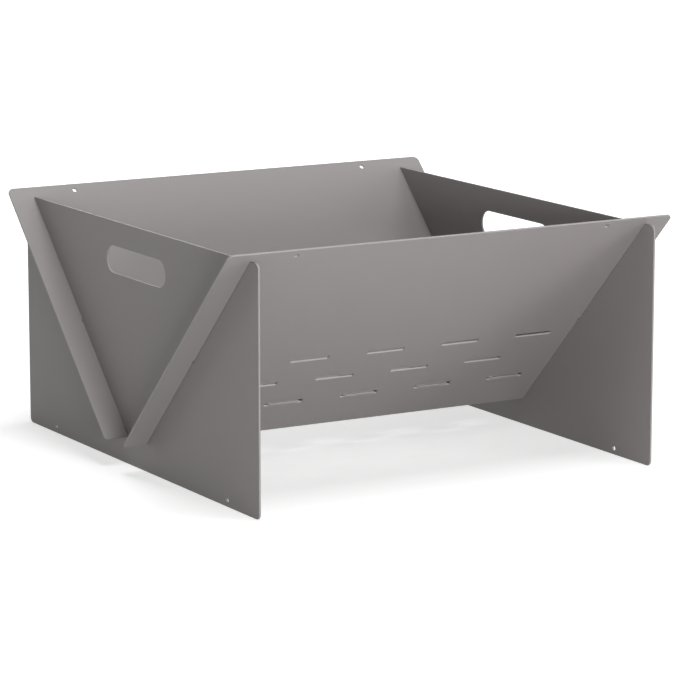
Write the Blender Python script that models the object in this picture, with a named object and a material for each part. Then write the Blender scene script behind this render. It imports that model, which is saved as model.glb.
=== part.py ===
"""Flat-pack fire basket: five flat steel plates that slot together without fasteners.

Two upright end plates stand on the ground. Two sloping side panels drop into slanted
slots in them and make a V. A small floor plate hangs between the panels on tabs that
pass through the lowest row of vent slots.

Metres, +Z up. X runs along the panels, Y from the front to the rear. The origin is on
the ground, under the middle of the basket.
"""
import math

import bmesh
import bpy
from mathutils import Matrix, Vector

# Sheet and fit
SHEET = 0.002               # thickness of every plate
FIT = 0.0003                # play between a sheet and each wall of its slot
CORNER_RADIUS = 0.008       # outer corners of the end plates and the panels
RELIEF_BULGE = 0.0012       # round end of a lap slot beyond each wall of the slot

# End plates
PLATE_HEIGHT = 0.250
PLATE_SPAN = 0.460          # between the outer faces of the two end plates
EAR_WIDTH = 0.016           # top of the plate outside a slot, from the panel to the edge
HAND_HOLE_LENGTH = 0.132
HAND_HOLE_HEIGHT = 0.0285
HAND_HOLE_DROP = 0.040      # centre of the hand hole below the top edge

# Side panels, measured up their slope
SLOPE = math.radians(45)
VALLEY_HEIGHT = 0.010       # where the inner faces of the two panels would meet
PANEL_FOOT = 0.028          # from that line up the slope to the lower edge
PANEL_RISE = 0.0093         # upper edge of a panel above the end plates
PANEL_OVERHANG = 0.027      # strip of a panel outside an end plate
LAP_DEPTH = 0.150           # slot in a panel, from its lower edge up the slope

# Vent slots
VENT_LENGTH = 0.044
VENT_HEIGHT = 0.0055
VENT_PITCH = 0.090          # between neighbours in a row
VENT_ROWS = 3
VENT_ROW_PITCH = 0.039
VENT_FIRST_ROW = 0.050      # lowest row above the lower edge of a panel
VENT_END_MARGIN = 0.020     # least distance from a slot to an end plate

# Floor plate
FLOOR_END_GAP = 0.001       # between the floor plate and each end plate
FLOOR_EDGE_GAP = 0.005      # between each long edge of the floor plate and its panel
TAB_END_GAP = 0.005         # from each end of a tab to the end of its slot
TAB_PROUD = 0.002           # end of a tab beyond the outer face of a panel
TAB_HEADROOM = 0.0006       # of a tab slot, beyond the height that its tab needs
FLOOR_ROW_OFFSET = 0.027    # rows of vents in the floor, from its middle line

# Hanging holes for the coating line
HANG_HOLE_DIAMETER = 0.005
PANEL_HANG_INSET = 0.077    # from the end of a panel
PANEL_HANG_DROP = 0.0083    # from the upper edge of a panel
PLATE_HANG_INSET = 0.065    # from the front or rear edge of an end plate
PLATE_HANG_RISE = 0.0064    # from the lower edge of an end plate

# Smoothness of round stretches
CORNER_STEPS = 8
HAND_HOLE_STEPS = 20
SMALL_HOLE_STEPS = 16

# Worked out from the values above
SIN, COS = math.sin(SLOPE), math.cos(SLOPE)
PANEL_WIDTH = (PLATE_HEIGHT + PANEL_RISE - VALLEY_HEIGHT) / SIN - PANEL_FOOT
PANEL_LENGTH = PLATE_SPAN + 2 * PANEL_OVERHANG
PANEL_FACE_AT_TOP = (PLATE_HEIGHT - VALLEY_HEIGHT) * COS / SIN + SHEET / SIN
PLATE_DEPTH = 2 * (PANEL_FACE_AT_TOP + EAR_WIDTH)
PLATE_X = PLATE_SPAN / 2 - SHEET / 2
SLOT_HALF = SHEET / 2 + FIT
RELIEF_RADIUS = SLOT_HALF + RELIEF_BULGE
# A crossing sheet seats with its edges on the round end, a little before its middle.
RELIEF_SAG = RELIEF_RADIUS - math.sqrt(RELIEF_RADIUS ** 2 - (SHEET / 2) ** 2)
LAP_SEAT = FIT + 2 * RELIEF_SAG
EAR_RADIUS = min(CORNER_RADIUS, EAR_WIDTH - FIT / SIN)
STRIP_RADIUS = min(CORNER_RADIUS, PANEL_OVERHANG - FIT)
TAB_WIDTH = VENT_LENGTH - 2 * TAB_END_GAP
# A level tab needs a taller slot than its own thickness, because it crosses a sloping sheet.
TAB_SLOT_HEIGHT = (SHEET + 2 * FIT) / SIN + SHEET * COS / SIN

COLLECTION = "fire_basket"
COAT_COLOUR = (0.279, 0.262, 0.258, 1.0)
COAT_ROUGHNESS = 0.55


def clear_scene():
    """Remove whatever the file holds, so that only the basket is left."""
    for item in list(bpy.data.objects):
        bpy.data.objects.remove(item, do_unlink=True)


def coat_material(name):
    """Matt warm grey powder coat of one plate."""
    material = bpy.data.materials.new(name)
    material.use_nodes = True
    shader = material.node_tree.nodes["Principled BSDF"]
    shader.inputs["Base Color"].default_value = COAT_COLOUR
    shader.inputs["Roughness"].default_value = COAT_ROUGHNESS
    shader.inputs["Metallic"].default_value = 0.0
    material.diffuse_color = COAT_COLOUR
    return material


def arc(centre, radius, start, sweep, steps):
    """Points on a circle from the angle start through the angle sweep, both ends included."""
    cx, cy = centre
    angles = [start + sweep * i / steps for i in range(steps + 1)]
    return [(cx + radius * math.cos(a), cy + radius * math.sin(a)) for a in angles]


def circle(centre, diameter):
    """A round hole."""
    return arc(centre, diameter / 2, 0, math.tau, SMALL_HOLE_STEPS)[:-1]


def rectangle(centre, width, height):
    """A straight-sided slot or opening."""
    cx, cy = centre
    w, h = width / 2, height / 2
    return [(cx - w, cy - h), (cx + w, cy - h), (cx + w, cy + h), (cx - w, cy + h)]


def stadium(centre, length, height):
    """An opening with two half-round ends."""
    cx, cy = centre
    reach = (length - height) / 2
    right = arc((cx + reach, cy), height / 2, -math.pi / 2, math.pi, HAND_HOLE_STEPS)
    left = arc((cx - reach, cy), height / 2, math.pi / 2, math.pi, HAND_HOLE_STEPS)
    return right + left


def corner(point, quarter, radius):
    """A rounded outer corner; quarter 0 is the lower right one, then anticlockwise."""
    across, up = [(-1, 1), (-1, -1), (1, -1), (1, 1)][quarter]
    centre = (point[0] + across * radius, point[1] + up * radius)
    return arc(centre, radius, (quarter - 1) * math.pi / 2, math.pi / 2, CORNER_STEPS)


def lap_slot(end, way, rim_height):
    """Notch for the sheet that crosses this one, as a stretch of an anticlockwise outline.

    end is the middle of the slot's closed end, way the unit vector from there to its
    mouth, and rim_height the straight edge that the mouth opens in. The closed end is
    the far side of a round relief a little wider than the slot.
    """
    end, way = Vector(end), Vector(way)
    side = Vector((way.y, -way.x))
    centre = end + way * RELIEF_RADIUS
    half_angle = math.asin(SLOT_HALF / RELIEF_RADIUS)
    facing = math.atan2(way.y, way.x)
    sweep = math.tau - 2 * half_angle
    relief = arc(centre, RELIEF_RADIUS, facing - half_angle, -sweep, SMALL_HOLE_STEPS)

    def mouth(offset):
        start = end + side * offset
        return tuple(start + way * ((rim_height - start.y) / way.y))

    return [mouth(SLOT_HALF)] + relief + [mouth(-SLOT_HALF)]


def panel_point(up_slope, depth):
    """Y and Z of a point of the rear panel: up its slope from the valley line, and deep
    into the sheet from its inner face."""
    return (up_slope * COS + depth * SIN, VALLEY_HEIGHT + up_slope * SIN - depth * COS)


def vent_places(row):
    """X of the vent slots in a row; every other row is shifted by half a pitch."""
    limit = PLATE_SPAN / 2 - SHEET - VENT_END_MARGIN - VENT_LENGTH / 2
    shift = VENT_PITCH / 2 if row % 2 else 0.0
    count = int((limit - shift) / VENT_PITCH)
    right = [shift + i * VENT_PITCH for i in range(count + 1)]
    return sorted({x * side for x in right for side in (-1, 1)})


def vent_row(row):
    """Middle and height of the slots in a row; the lowest row also clears its tabs."""
    middle = VENT_FIRST_ROW + row * VENT_ROW_PITCH
    if row > 0:
        return middle, VENT_HEIGHT
    return middle + TAB_HEADROOM / 2, TAB_SLOT_HEIGHT + TAB_HEADROOM


def sheet_mesh(name, outline, openings):
    """A flat blank cut from sheet: a filled outline with openings, SHEET thick."""
    curve = bpy.data.curves.new(name + "_blank", "CURVE")
    curve.dimensions = "2D"
    curve.fill_mode = "BOTH"
    curve.extrude = SHEET / 2
    for loop in [outline] + openings:
        spline = curve.splines.new("POLY")
        spline.points.add(len(loop) - 1)
        spline.use_cyclic_u = True
        for point, (x, y) in zip(spline.points, loop):
            point.co = (x, y, 0.0, 1.0)
    blank = bpy.data.objects.new(name + "_blank", curve)
    bpy.context.scene.collection.objects.link(blank)
    evaluated = blank.evaluated_get(bpy.context.evaluated_depsgraph_get())
    mesh = bpy.data.meshes.new_from_object(evaluated)
    bpy.data.objects.remove(blank, do_unlink=True)
    bpy.data.curves.remove(curve)
    weld(mesh)
    return mesh


def weld(mesh):
    """Join the loose faces of a filled curve to its walls."""
    work = bmesh.new()
    work.from_mesh(mesh)
    bmesh.ops.remove_doubles(work, verts=work.verts, dist=1e-6)
    bmesh.ops.recalc_face_normals(work, faces=work.faces)
    work.to_mesh(mesh)
    work.free()


def set_plate(name, mesh, matrix, collection):
    """Put a blank in the basket as its own plate."""
    plate = bpy.data.objects.new(name, mesh)
    plate.matrix_world = matrix
    mesh.name = name
    mesh.materials.append(coat_material(name + "_coat"))
    collection.objects.link(plate)


def axes(right, up, origin):
    """World matrix of a blank drawn in its own plane, with right and up as its X and Y."""
    right, up = Vector(right), Vector(up)
    rotation = Matrix((right, up, right.cross(up))).transposed()
    return Matrix.Translation(origin) @ rotation.to_4x4()


def end_plate_blank(name):
    """Upright plate with a hand hole and two slanted slots that open at the top."""
    half = PLATE_DEPTH / 2
    slot_end = panel_point(PANEL_FOOT + LAP_DEPTH - LAP_SEAT, SHEET / 2)
    rear_slot = lap_slot(slot_end, (COS, SIN), PLATE_HEIGHT)
    front_slot = [(-y, z) for y, z in reversed(rear_slot)]
    outline = corner((half, 0.0), 0, CORNER_RADIUS) + corner((half, PLATE_HEIGHT), 1, EAR_RADIUS)
    outline += rear_slot + front_slot
    outline += corner((-half, PLATE_HEIGHT), 2, EAR_RADIUS) + corner((-half, 0.0), 3, CORNER_RADIUS)
    hand_hole = stadium((0.0, PLATE_HEIGHT - HAND_HOLE_DROP), HAND_HOLE_LENGTH, HAND_HOLE_HEIGHT)
    hang_y = half - PLATE_HANG_INSET
    hang_holes = [circle((y, PLATE_HANG_RISE), HANG_HOLE_DIAMETER) for y in (-hang_y, hang_y)]
    return sheet_mesh(name, outline, [hand_hole] + hang_holes)


def panel_blank(name):
    """Side panel with three rows of vents and two slots that open at the lower edge."""
    half = PANEL_LENGTH / 2
    right_slot = lap_slot((PLATE_X, LAP_DEPTH), (0.0, -1.0), 0.0)
    left_slot = [(x - 2 * PLATE_X, y) for x, y in right_slot]
    outline = left_slot + right_slot
    outline += corner((half, 0.0), 0, STRIP_RADIUS) + corner((half, PANEL_WIDTH), 1, CORNER_RADIUS)
    outline += corner((-half, PANEL_WIDTH), 2, CORNER_RADIUS) + corner((-half, 0.0), 3, STRIP_RADIUS)
    openings = []
    for row in range(VENT_ROWS):
        middle, height = vent_row(row)
        openings += [rectangle((x, middle), VENT_LENGTH, height) for x in vent_places(row)]
    hang = (half - PANEL_HANG_INSET, PANEL_WIDTH - PANEL_HANG_DROP)
    openings += [circle((side * hang[0], hang[1]), HANG_HOLE_DIAMETER) for side in (-1, 1)]
    return sheet_mesh(name, outline, openings)


def floor_blank(name):
    """Level plate between the panels, with a tab for each slot of their lowest row."""
    middle_y = panel_point(PANEL_FOOT + VENT_FIRST_ROW, SHEET / 2)[0]
    shoulder = middle_y - (SHEET / 2) / SIN - (SHEET / 2) * COS / SIN - FLOOR_EDGE_GAP
    tip = middle_y + (SHEET / 2) / SIN + TAB_PROUD
    half = PLATE_SPAN / 2 - SHEET - FLOOR_END_GAP
    rear_edge = [(half, shoulder)]
    for x in reversed(vent_places(0)):
        right, left = x + TAB_WIDTH / 2, x - TAB_WIDTH / 2
        rear_edge += [(right, shoulder), (right, tip), (left, tip), (left, shoulder)]
    rear_edge += [(-half, shoulder)]
    front_edge = [(-x, -y) for x, y in rear_edge]
    places = [(x, 0.0) for x in vent_places(0)]
    places += [(x, side * FLOOR_ROW_OFFSET) for side in (-1, 1) for x in vent_places(1)]
    openings = [rectangle(place, VENT_LENGTH, VENT_HEIGHT) for place in places]
    return sheet_mesh(name, rear_edge + front_edge, openings)


def build():
    """Model the five plates in place."""
    clear_scene()
    basket = bpy.data.collections.new(COLLECTION)
    bpy.context.scene.collection.children.link(basket)

    end_mesh = end_plate_blank("end_plate")
    for name, x in (("left_end_plate", -PLATE_X), ("right_end_plate", PLATE_X)):
        set_plate(name, end_mesh.copy(), axes((0, 1, 0), (0, 0, 1), (x, 0, 0)), basket)

    panel_mesh = panel_blank("panel")
    y, z = panel_point(PANEL_FOOT, SHEET / 2)
    for name, side in (("rear_panel", 1), ("front_panel", -1)):
        matrix = axes((1, 0, 0), (0, side * COS, SIN), (0, side * y, z))
        set_plate(name, panel_mesh.copy(), matrix, basket)

    height = panel_point(PANEL_FOOT + VENT_FIRST_ROW, SHEET / 2)[1]
    matrix = axes((1, 0, 0), (0, 1, 0), (0, 0, height))
    set_plate("floor_plate", floor_blank("floor"), matrix, basket)

    for blank in (end_mesh, panel_mesh):
        bpy.data.meshes.remove(blank)


build()
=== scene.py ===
# %% [markdown]
# # Fire basket: from bare plates to a coated product
#
# The real basket is five flat plates, laser cut from 2 mm sheet steel, that slot together
# without a screw and wear one warm grey powder coat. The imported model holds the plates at
# their real size and place. This lesson adds what the bare plates lack: soft edges, a coat
# with a fine skin, and a plain studio to stand in.

import math

import bmesh
import bpy
from mathutils import Matrix, Vector


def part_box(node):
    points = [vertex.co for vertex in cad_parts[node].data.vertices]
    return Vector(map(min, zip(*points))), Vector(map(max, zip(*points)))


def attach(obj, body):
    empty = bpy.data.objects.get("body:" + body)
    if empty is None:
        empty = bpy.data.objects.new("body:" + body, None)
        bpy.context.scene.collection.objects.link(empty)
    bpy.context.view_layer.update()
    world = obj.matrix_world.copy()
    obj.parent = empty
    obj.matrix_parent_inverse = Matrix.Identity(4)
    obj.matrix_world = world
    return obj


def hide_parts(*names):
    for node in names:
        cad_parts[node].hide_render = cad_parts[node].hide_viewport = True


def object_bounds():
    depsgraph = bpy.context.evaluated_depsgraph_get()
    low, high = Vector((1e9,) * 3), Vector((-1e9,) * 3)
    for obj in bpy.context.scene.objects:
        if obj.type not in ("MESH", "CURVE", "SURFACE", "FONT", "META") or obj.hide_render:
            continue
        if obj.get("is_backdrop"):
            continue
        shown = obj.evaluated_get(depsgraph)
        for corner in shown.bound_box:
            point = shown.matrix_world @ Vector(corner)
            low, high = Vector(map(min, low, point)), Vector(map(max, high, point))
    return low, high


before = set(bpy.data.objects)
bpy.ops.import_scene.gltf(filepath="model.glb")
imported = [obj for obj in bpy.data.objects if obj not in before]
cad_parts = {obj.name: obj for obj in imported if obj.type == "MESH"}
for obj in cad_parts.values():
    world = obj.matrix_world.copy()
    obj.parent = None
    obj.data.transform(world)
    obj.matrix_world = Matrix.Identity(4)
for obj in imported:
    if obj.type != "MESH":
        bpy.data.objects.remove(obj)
cad_low, cad_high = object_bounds()
print("plates:", sorted(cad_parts))
print("size in mm:", [round(1000 * side, 1) for side in cad_high - cad_low])

# %% [markdown]
# ## The plates and what they ride on
#
# Both end plates stand on the ground. The two side panels lift out of them up their own
# slope, and the floor plate rises with the panels. A dressed plate has to ride on the same
# body as the bare one that it stands for, so the pairs are written down once, here.

# %% Name the plates
BODY_OF_PLATE = {
    "left_end_plate": "end_plates",
    "right_end_plate": "end_plates",
    "front_panel": "front_panel",
    "rear_panel": "rear_panel",
    "floor_plate": "floor_plate",
}
end_low, end_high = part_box("left_end_plate")
SHEET = end_high.x - end_low.x
print(f"sheet {1000 * SHEET:.2f} mm, end plates {1000 * end_high.z:.0f} mm high")

# %% [markdown]
# ## Camera
#
# The product is seen from its front left corner, a little from above, through a long lens,
# which keeps the plates' edges nearly parallel. A camera is easiest to think of as standing
# on a ball round the thing it looks at: two angles, a distance and the point it aims at.

# %% Place the camera
CAMERA_AZIMUTH = math.radians(-30.14)      # 0 is straight in front of the long panel
CAMERA_ELEVATION = math.radians(10.94)
CAMERA_DISTANCE = 3.563
CAMERA_AIM = Vector((0.006, -0.007, 0.112))
CAMERA_LENS, SENSOR_WIDTH = 179.2, 36.0    # millimetres
SEEN_FROM, SEEN_TO = 0.1, 100.0            # metres from the camera


def direction(azimuth, elevation):
    """Unit vector from the basket towards an azimuth and an elevation."""
    flat = math.cos(elevation)
    return Vector((flat * math.sin(azimuth), -flat * math.cos(azimuth), math.sin(elevation)))


def look_at(item, place, target):
    """Stand an object at a place with its -Z towards the target."""
    item.location = place
    item.rotation_mode = "QUATERNION"
    item.rotation_quaternion = (target - place).to_track_quat("-Z", "Y")


def add_camera():
    lens = bpy.data.cameras.new("camera")
    lens.lens = CAMERA_LENS
    lens.sensor_width = SENSOR_WIDTH
    lens.clip_start = SEEN_FROM
    lens.clip_end = SEEN_TO
    camera = bpy.data.objects.new("camera", lens)
    bpy.context.scene.collection.objects.link(camera)
    towards = direction(CAMERA_AZIMUTH, CAMERA_ELEVATION)
    look_at(camera, CAMERA_AIM + CAMERA_DISTANCE * towards, CAMERA_AIM)
    bpy.context.scene.camera = camera
    return camera


camera = add_camera()
print("camera at", [round(value, 3) for value in camera.location])

# %% [markdown]
# ## Node helpers
#
# Every finish below is made of shader nodes. A few small helpers keep that readable. One
# makes a node and fills in its values, and two more do sums and mix colours with it. The
# others start a node group with named sockets, place it and list its sockets. A group is a
# tool of its own: it is built once and then placed in each material with that material's
# values.


# %% Write the helpers
def add_node(tree, kind, values=None, **settings):
    """A new node, with settings such as operation= and values for its input sockets."""
    node = tree.nodes.new(kind)
    for name, value in settings.items():
        setattr(node, name, value)
    for socket, value in (values or {}).items():
        if isinstance(value, bpy.types.NodeSocket):
            tree.links.new(value, node.inputs[socket])
        else:
            node.inputs[socket].default_value = value
    return node


def calculate(tree, operation, first, second=0.0):
    """Output of a Math node; each operand is a number or another node's output."""
    return add_node(tree, "ShaderNodeMath", {0: first, 1: second}, operation=operation).outputs[0]


def mix_colours(tree, factor, first, second):
    """Output of a Mix node. Its colour sockets have no names of their own: 6, 7 and, out, 2."""
    values = {"Factor": factor, 6: first, 7: second}
    return add_node(tree, "ShaderNodeMix", values, data_type="RGBA").outputs[2]


# %% Write the helpers for node groups
def start_group(name, inputs, outputs):
    """A node group with named sockets. Returns its tree, its input node and its output node."""
    tree = bpy.data.node_groups.new(name, "ShaderNodeTree")
    for socket, kind in inputs.items():
        tree.interface.new_socket(socket, in_out="INPUT", socket_type="NodeSocket" + kind)
    for socket, kind in outputs.items():
        tree.interface.new_socket(socket, in_out="OUTPUT", socket_type="NodeSocket" + kind)
    return tree, tree.nodes.new("NodeGroupInput"), tree.nodes.new("NodeGroupOutput")


def place_group(tree, group, values):
    """Put a group into a material, with its inputs filled in."""
    return add_node(tree, "ShaderNodeGroup", values, node_tree=group)


def socket_names(group, side):
    return [socket.name for socket in group.interface.items_tree if socket.in_out == side]


# %% [markdown]
# ## The skin of a powder coat
#
# Powder is sprayed dry and then melted in an oven. It flows out almost flat, and what is
# left is orange peel: soft swells about two millimetres apart, under a matt grain much finer
# than that. The colour also clouds a little over a hand's breadth. Painted textures would
# show their pixels close up, so all three are noise in the plate's own coordinates. The
# group gives a height for the bump and a tone between 0 and 1 for the colour.

# %% Build the coat skin group
GRAIN_HEIGHT = 0.35                        # height of the grain, where the peel's is 1
CLOUD_PART, GRAIN_PART = 0.7, 0.3          # how much of the tone is slow clouds, and grain
SMOOTH_NOISE, ROUGH_NOISE = 1.0, 2.0       # levels of finer detail in a noise


def coat_skin_group():
    inputs = {"Place": "Vector", "Peel Size": "Float", "Grain Size": "Float", "Cloud Size": "Float"}
    tree, given, made = start_group("coat_skin", inputs, {"Height": "Float", "Tone": "Float"})

    def layer(size_socket, detail):
        scale = calculate(tree, "DIVIDE", 1.0, given.outputs[size_socket])
        values = {"Vector": given.outputs["Place"], "Scale": scale, "Detail": detail}
        return add_node(tree, "ShaderNodeTexNoise", values).outputs["Fac"]

    peel = layer("Peel Size", SMOOTH_NOISE)
    grain = layer("Grain Size", ROUGH_NOISE)
    cloud = layer("Cloud Size", ROUGH_NOISE)
    height = calculate(tree, "ADD", peel, calculate(tree, "MULTIPLY", grain, GRAIN_HEIGHT))
    tree.links.new(height, made.inputs["Height"])
    slow = calculate(tree, "MULTIPLY", cloud, CLOUD_PART)
    fine = calculate(tree, "MULTIPLY", grain, GRAIN_PART)
    tree.links.new(calculate(tree, "ADD", slow, fine), made.inputs["Tone"])
    return tree


coat_skin = coat_skin_group()
print("group", coat_skin.name, "puts out", socket_names(coat_skin, "OUTPUT"))

# %% [markdown]
# ## The cut edge of the sheet
#
# A laser leaves the edge of the sheet square and finely ribbed. A pale line is painted round every
# plate and slot as a painted highlight, where the rounded rims would catch the light. Each dressed
# plate lies flat in its own coordinates, with Z through the sheet. So the distance from the sheet's
# middle alone says where the edge is: no painted texture, no selection.


# %% Build the cut edge group
def cut_edge_group():
    inputs = {"Place": "Vector", "Half Sheet": "Float", "Rim": "Float", "Rib Pitch": "Float"}
    tree, given, made = start_group("cut_edge", inputs, {"Edge": "Float", "Ribs": "Float"})
    split = add_node(tree, "ShaderNodeSeparateXYZ", {"Vector": given.outputs["Place"]})
    from_middle = calculate(tree, "ABSOLUTE", split.outputs["Z"])
    below_face = calculate(tree, "SUBTRACT", given.outputs["Half Sheet"], from_middle)
    share = calculate(tree, "DIVIDE", below_face, given.outputs["Rim"])
    edge = add_node(tree, "ShaderNodeClamp", {"Value": share}).outputs["Result"]
    tree.links.new(edge, made.inputs["Edge"])
    along = {"X": split.outputs["X"], "Y": split.outputs["Y"]}
    flat_place = add_node(tree, "ShaderNodeCombineXYZ", along).outputs["Vector"]
    scale = calculate(tree, "DIVIDE", 1.0, given.outputs["Rib Pitch"])
    values = {"Vector": flat_place, "Scale": scale, "Detail": SMOOTH_NOISE}
    ribs = add_node(tree, "ShaderNodeTexNoise", values).outputs["Fac"]
    tree.links.new(calculate(tree, "MULTIPLY", ribs, edge), made.inputs["Ribs"])
    return tree


cut_edge = cut_edge_group()
print("group", cut_edge.name, "reads", socket_names(cut_edge, "INPUT"))

# %% [markdown]
# ## The powder coat
#
# The finish is matt warm grey. All plates hang in one booth, so they share one recipe, but
# each has its own stretch of noise, or the two end plates would cloud alike. The body of the
# coat is a Principled shader without metal: powder hides the steel completely.

# %% Choose the coat
COAT_COLOUR = (0.279, 0.262, 0.258, 1.0)
EDGE_HIGHLIGHT_COLOUR = (0.322, 0.308, 0.302, 1.0)   # painted highlight: a paler grey painted along the cut edges
COAT_ROUGHNESS = (0.50, 0.58)              # from the smoothest to the dullest spot
COAT_GLOSS = 0.20                          # powder coat mirrors less than glossy paint
CLOUDING = 0.03                            # how far the tone drifts either way
RIM_RADIUS = 0.0003                        # rounding that the coat leaves on an edge
PEEL_SIZE, GRAIN_SIZE = 0.0018, 0.0004
CLOUD_SIZE = 0.09
RIB_PITCH = 0.0006                         # from one rib of the laser's cut to the next
RIB_HEIGHT = 2.0                           # height of the ribs, where the peel's is 1
BUMP_STRENGTH, BUMP_DEPTH = 0.5, 0.00004
print(f"orange peel {1000 * PEEL_SIZE:.1f} mm wide and up to {1000 * BUMP_DEPTH:.2f} mm deep")


# %% Mix the coat
def tinted(colour, factor):
    """The same colour, lighter or darker."""
    return tuple(channel * factor for channel in colour[:3]) + (1.0,)


def coat_colour(tree, skin, edge):
    """The faces' grey with its slow clouds, and a painted highlight of paler grey on the cut edge.
    """
    darker, lighter = tinted(COAT_COLOUR, 1 - CLOUDING), tinted(COAT_COLOUR, 1 + CLOUDING)
    faces = mix_colours(tree, skin.outputs["Tone"], darker, lighter)
    return mix_colours(tree, edge.outputs["Edge"], faces, EDGE_HIGHLIGHT_COLOUR)


def coat_roughness(tree, skin):
    smooth, dull = COAT_ROUGHNESS
    values = {"Value": skin.outputs["Tone"], "To Min": smooth, "To Max": dull}
    return add_node(tree, "ShaderNodeMapRange", values).outputs["Result"]


def coat_relief(tree, skin, edge):
    """A normal that follows the orange peel on the faces and the ribs on the cut edge."""
    ribs = calculate(tree, "MULTIPLY", edge.outputs["Ribs"], RIB_HEIGHT)
    relief = calculate(tree, "ADD", skin.outputs["Height"], ribs)
    values = {"Height": relief, "Strength": BUMP_STRENGTH, "Distance": BUMP_DEPTH}
    return add_node(tree, "ShaderNodeBump", values).outputs["Normal"]


def powder_coat(name, offset):
    """Matt powder coat; the offset moves its noise so that no two plates cloud alike."""
    material = bpy.data.materials.new(name)
    material.use_nodes = True
    tree = material.node_tree
    shader = tree.nodes["Principled BSDF"]
    own_place = add_node(tree, "ShaderNodeTexCoord").outputs["Object"]
    step = {0: own_place, 1: (offset, 0.0, 0.0)}
    moved = add_node(tree, "ShaderNodeVectorMath", step, operation="ADD").outputs["Vector"]
    skin_sizes = {"Peel Size": PEEL_SIZE, "Grain Size": GRAIN_SIZE, "Cloud Size": CLOUD_SIZE}
    skin = place_group(tree, coat_skin, {"Place": moved, **skin_sizes})
    edge_sizes = {"Half Sheet": SHEET / 2, "Rim": RIM_RADIUS, "Rib Pitch": RIB_PITCH}
    edge = place_group(tree, cut_edge, {"Place": own_place, **edge_sizes})
    tree.links.new(coat_colour(tree, skin, edge), shader.inputs["Base Color"])
    tree.links.new(coat_roughness(tree, skin), shader.inputs["Roughness"])
    tree.links.new(coat_relief(tree, skin, edge), shader.inputs["Normal"])
    shader.inputs["Specular IOR Level"].default_value = COAT_GLOSS
    return material


# %% [markdown]
# ## Plates laid flat
#
# Each dressed plate starts as a copy of its packed one. It could be drawn again from its
# sizes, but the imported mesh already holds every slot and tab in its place. The copy is laid
# flat on the bench, with Z through the sheet, and its triangles are joined to one face
# wherever the sheet is flat. Then nothing that is done to it needs the slope.

# %% Lay a plate flat
WELD = 1e-6                                # places closer than this count as one
FLAT = math.radians(1)                     # faces that meet flatter than this are one face
FACING = 0.5                               # share of a normal along an axis that it faces


def bench_frame(node):
    """Matrix from a plate's flat frame, with Z through the sheet, to its place in the basket."""
    face = max(node.data.polygons, key=lambda polygon: polygon.area)
    through = face.normal.copy()
    along = Vector((0, 1, 0)) if abs(through.x) > FACING else Vector((1, 0, 0))
    turn = Matrix((along, through.cross(along), through)).transposed()
    corners = [turn.transposed() @ vertex.co for vertex in node.data.vertices]
    middle = Vector([
        (min(corner[i] for corner in corners) + max(corner[i] for corner in corners)) / 2
        for i in range(3)
    ])
    return Matrix.Translation(turn @ middle) @ turn.to_4x4()


def flat_blank(node, placed):
    """The plate's mesh in its flat frame, with one face wherever the sheet is flat."""
    work = bmesh.new()
    work.from_mesh(node.data)
    work.transform(placed.inverted())
    bmesh.ops.remove_doubles(work, verts=work.verts, dist=WELD)
    bmesh.ops.dissolve_limit(work, angle_limit=FLAT, verts=work.verts, edges=work.edges)
    return work


# The third column of the matrix is the flat frame's Z, as it stands in the basket.
through_panel = bench_frame(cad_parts["front_panel"]).col[2]
panel_slope = math.degrees(math.acos(abs(through_panel.z)))
print(f"the front panel slopes by {panel_slope:.1f} degrees")

# %% [markdown]
# ## Tighter corners
#
# Close up, the product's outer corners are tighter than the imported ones, most of all the lower
# corners of the side panels. New outlines would have to repeat every slot, so only the points
# of the corners move. A corner is an arc of points round a centre. Each point keeps its
# direction from the centre, while the radius shrinks and the centre moves outward, so the
# straight edges stay where they are. The floor plate's corners are square already.

# %% Tighten the outer corners
PACKED_RADIUS = 0.008                      # the corners of these four plates as packed
PLATE_RADIUS = 0.006                       # the four corners of an end plate
PANEL_RADIUS = 0.0065                      # the two upper corners of a side panel
STRIP_RADIUS = 0.004                       # the two lower corners of a side panel
RADII_OF_PLATE = {                         # for its lower corners and for its upper ones
    "left_end_plate": (PLATE_RADIUS, PLATE_RADIUS),
    "right_end_plate": (PLATE_RADIUS, PLATE_RADIUS),
    "front_panel": (STRIP_RADIUS, PANEL_RADIUS),
    "rear_panel": (STRIP_RADIUS, PANEL_RADIUS),
}


def tighten_corners(work, placed, low_radius, high_radius):
    """Move the points of the four outer arcs onto smaller arcs."""
    reach = [max(abs(vertex.co[i]) for vertex in work.verts) for i in (0, 1)]
    for vertex in work.verts:
        from_centre = Vector([abs(vertex.co[i]) - reach[i] + PACKED_RADIUS for i in (0, 1)])
        if min(from_centre) < -WELD:
            continue
        is_low = (placed @ vertex.co).z < placed.translation.z
        radius = low_radius if is_low else high_radius
        for i, share in enumerate(from_centre.normalized()):
            vertex.co[i] = math.copysign(reach[i] - radius + radius * share, vertex.co[i])


for node_name, radii in RADII_OF_PLATE.items():
    print(node_name, "corners in mm, low and high:", [round(1000 * radius, 1) for radius in radii])

# %% [markdown]
# ## Soft rims
#
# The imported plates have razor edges, which no coated plate has: the powder rounds every rim
# by a few tenths of a millimetre, and that is what catches the light. A Bevel modifier that
# goes by angle would also round the corners inside the slots, which stay as the laser cut
# them. So the rims are picked here, by the faces that meet at them.

# %% Round the rims
RIM_STEPS = 3
ROUND_PROFILE = 0.5                        # a quarter circle, where 1 would leave it square


def is_rim(edge):
    """True where one of the two big faces meets a cut wall."""
    faces = edge.link_faces
    return len(faces) == 2 and sum(abs(face.normal.z) > FACING for face in faces) == 1


def round_rims(work):
    """Round every rim and return how many there were."""
    rims = [edge for edge in work.edges if is_rim(edge)]
    rounding = {"offset": RIM_RADIUS, "segments": RIM_STEPS, "profile": ROUND_PROFILE}
    bmesh.ops.bevel(work, geom=rims, affect="EDGES", **rounding)
    for face in work.faces:
        face.smooth = True
    return len(rims)


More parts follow.
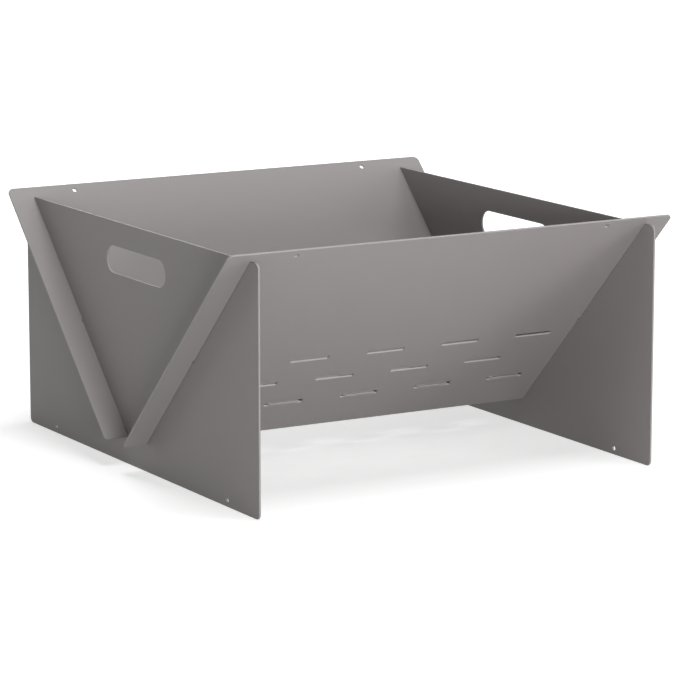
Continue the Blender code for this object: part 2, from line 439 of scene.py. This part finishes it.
# %% [markdown]
# ## Dressing the plates
#
# Each dressed plate stands for its bare one, rides on the same body and takes its finish from
# the one material slot. A Weighted Normal modifier lets the wide faces rule the shading, so
# that they stay perfectly flat up to the rounded rims.

# %% Dress every plate
SMOOTH_BELOW = math.radians(40)            # sharper bends than this stay hard edges
NOISE_STEP = 1.7                           # metres of noise between one plate and the next


def dressed_plate(node_name, body, order):
    """A coated copy of a packed plate, which it hides and whose body it rides on."""
    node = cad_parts[node_name]
    placed = bench_frame(node)
    work = flat_blank(node, placed)
    if node_name in RADII_OF_PLATE:
        tighten_corners(work, placed, *RADII_OF_PLATE[node_name])
    rims = round_rims(work)
    mesh = bpy.data.meshes.new(node_name + "_coated")
    work.to_mesh(mesh)
    work.free()
    mesh.set_sharp_from_angle(angle=SMOOTH_BELOW)
    mesh.materials.append(powder_coat(node_name + "_coat", order * NOISE_STEP))
    plate = bpy.data.objects.new(node_name + "_coated", mesh)
    bpy.context.scene.collection.objects.link(plate)
    plate.matrix_world = placed
    shading = plate.modifiers.new("flat faces", "WEIGHTED_NORMAL")
    shading.keep_sharp = True
    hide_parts(node_name)
    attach(plate, body)
    print(f"{plate.name}: {rims} rims rounded, {len(mesh.polygons)} faces")


for order, (node_name, body) in enumerate(BODY_OF_PLATE.items()):
    dressed_plate(node_name, body, order)

# %% [markdown]
# ## Floor
#
# Product pictures stand on a sheet of white paper. The floor is a wide plane of pale matt
# paper that throws light back up at the undersides. Stronger lamps would make it white, but
# the basket too pale. So to the camera the paper also glows. The basket's shadow still shows
# on it, because the glow is added to the light that falls there and doesn't replace it.

# %% Mix the paper
FLOOR_COLOUR = (0.66, 0.66, 0.66, 1.0)
PAPER_ROUGHNESS = 0.9
GLOW_NEAR, GLOW_FAR = 0.62, 1.0            # under the basket, and where the paper is unlit
NEAR, FAR = 0.5, 3.0                       # metres from the basket


def seen_directly(tree):
    """1 for the rays that show the background: the camera's, mirrored and passed through."""
    path = tree.nodes.new("ShaderNodeLightPath")
    seen = calculate(tree, "MAXIMUM", path.outputs["Is Camera Ray"], path.outputs["Is Glossy Ray"])
    return calculate(tree, "MAXIMUM", seen, path.outputs["Is Transmission Ray"])


def paper_glow(tree):
    """An emission that only direct looks see, and that grows away from the basket."""
    own_place = add_node(tree, "ShaderNodeTexCoord").outputs["Object"]
    away = add_node(tree, "ShaderNodeVectorMath", {0: own_place}, operation="LENGTH")
    limits = {"From Min": NEAR, "From Max": FAR, "To Min": GLOW_NEAR, "To Max": GLOW_FAR}
    rise = add_node(tree, "ShaderNodeMapRange", {"Value": away.outputs["Value"], **limits})
    strength = calculate(tree, "MULTIPLY", seen_directly(tree), rise.outputs["Result"])
    return add_node(tree, "ShaderNodeEmission", {"Strength": strength}).outputs[0]


def paper():
    material = bpy.data.materials.new("paper")
    material.use_nodes = True
    tree = material.node_tree
    shader = tree.nodes["Principled BSDF"]
    shader.inputs["Base Color"].default_value = FLOOR_COLOUR
    shader.inputs["Roughness"].default_value = PAPER_ROUGHNESS
    shader.inputs["Specular IOR Level"].default_value = 0.0
    both = add_node(tree, "ShaderNodeAddShader", {0: shader.outputs[0], 1: paper_glow(tree)})
    tree.links.new(both.outputs[0], tree.nodes["Material Output"].inputs["Surface"])
    return material


# %% Lay the floor
FLOOR_SIZE = 40.0


def add_floor():
    work = bmesh.new()
    bmesh.ops.create_grid(work, x_segments=1, y_segments=1, size=FLOOR_SIZE / 2)
    mesh = bpy.data.meshes.new("floor")
    work.to_mesh(mesh)
    work.free()
    mesh.materials.append(paper())
    floor = bpy.data.objects.new("floor", mesh)
    bpy.context.scene.collection.objects.link(floor)
    floor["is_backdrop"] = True
    return floor


floor = add_floor()
print("floor", floor.dimensions.x, "m wide")

# %% [markdown]
# ## Light
#
# Two low lamps in front light the panel's outer face, which leans down towards the ground.
# The lower one is a narrow strip at the camera's side, whose light hardly gets over the rim,
# so the inside stays dark. One lamp straight above and one high at the right fill the inside
# without reaching the right end plate's inner face, which is the darkest of the picture. The
# left end plate has a weak lamp straight on and one from behind, whose light grazes it, so
# that each strip lays a soft shadow beside it. The last lamp keeps the rear side readable.

# %% Light the studio
LAMPS = {
    "low_front_lamp": {"azimuth": -16, "elevation": 5, "size": (1.2, 0.5), "power": 52},
    "front_right_lamp": {"azimuth": 38, "elevation": 10, "size": (1.2, 1.0), "power": 24},
    "top_lamp": {"azimuth": 0, "elevation": 80, "size": (1.4, 1.4), "power": 56},
    "right_top_lamp": {"azimuth": 110, "elevation": 55, "size": (1.4, 1.4), "power": 26},
    "left_lamp": {"azimuth": -88, "elevation": 5, "size": (1.6, 0.5), "power": 6},
    "rear_left_lamp": {"azimuth": -135, "elevation": 10, "size": (1.6, 1.0), "power": 7},
    "rear_lamp": {"azimuth": 155, "elevation": 12, "size": (1.6, 1.2), "power": 20},
}
LAMP_DISTANCE = 3.0


def add_lamp(name, azimuth, elevation, size, power):
    """A flat lamp, width and height in metres and power in watts, that faces the basket."""
    light = bpy.data.lights.new(name, "AREA")
    light.shape = "RECTANGLE"
    light.size, light.size_y = size
    light.energy = power
    lamp = bpy.data.objects.new(name, light)
    bpy.context.scene.collection.objects.link(lamp)
    towards = direction(math.radians(azimuth), math.radians(elevation))
    look_at(lamp, CAMERA_AIM + LAMP_DISTANCE * towards, CAMERA_AIM)
    return lamp


for name, settings in LAMPS.items():
    lamp = add_lamp(name, **settings)
    print(name, "at", [round(value, 2) for value in lamp.location])

# %% [markdown]
# ## Background
#
# Where the picture runs past the paper, the surroundings are plain white, also as mirrored in
# the coat. A world that shone on everything would be white too, but it would flatten the
# basket's tones. So this one is only seen, and the lamps do the lighting. Blender's Standard
# view shows every colour as it is written here.


# %% Paint the background
def add_surroundings():
    world = bpy.data.worlds.new("surroundings")
    bpy.context.scene.world = world
    world.use_nodes = True
    tree = world.node_tree
    background = tree.nodes["Background"]
    background.inputs["Color"].default_value = (1.0, 1.0, 1.0, 1.0)
    tree.links.new(seen_directly(tree), background.inputs["Strength"])
    return world


world = add_surroundings()
bpy.context.scene.view_settings.view_transform = "Standard"
print("world", world.name, "under the view", bpy.context.scene.view_settings.view_transform)

# %% [markdown]
# ## The size
#
# The dressed basket's box is measured against the imported one, and how much it has grown is
# printed. The dressed basket may not be larger than the imported one.

# %% Measure the growth
visual_low, visual_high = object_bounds()
growth = (visual_high - visual_low) - (cad_high - cad_low)
print("grown by, in mm:", [round(1000 * side, 3) for side in growth])
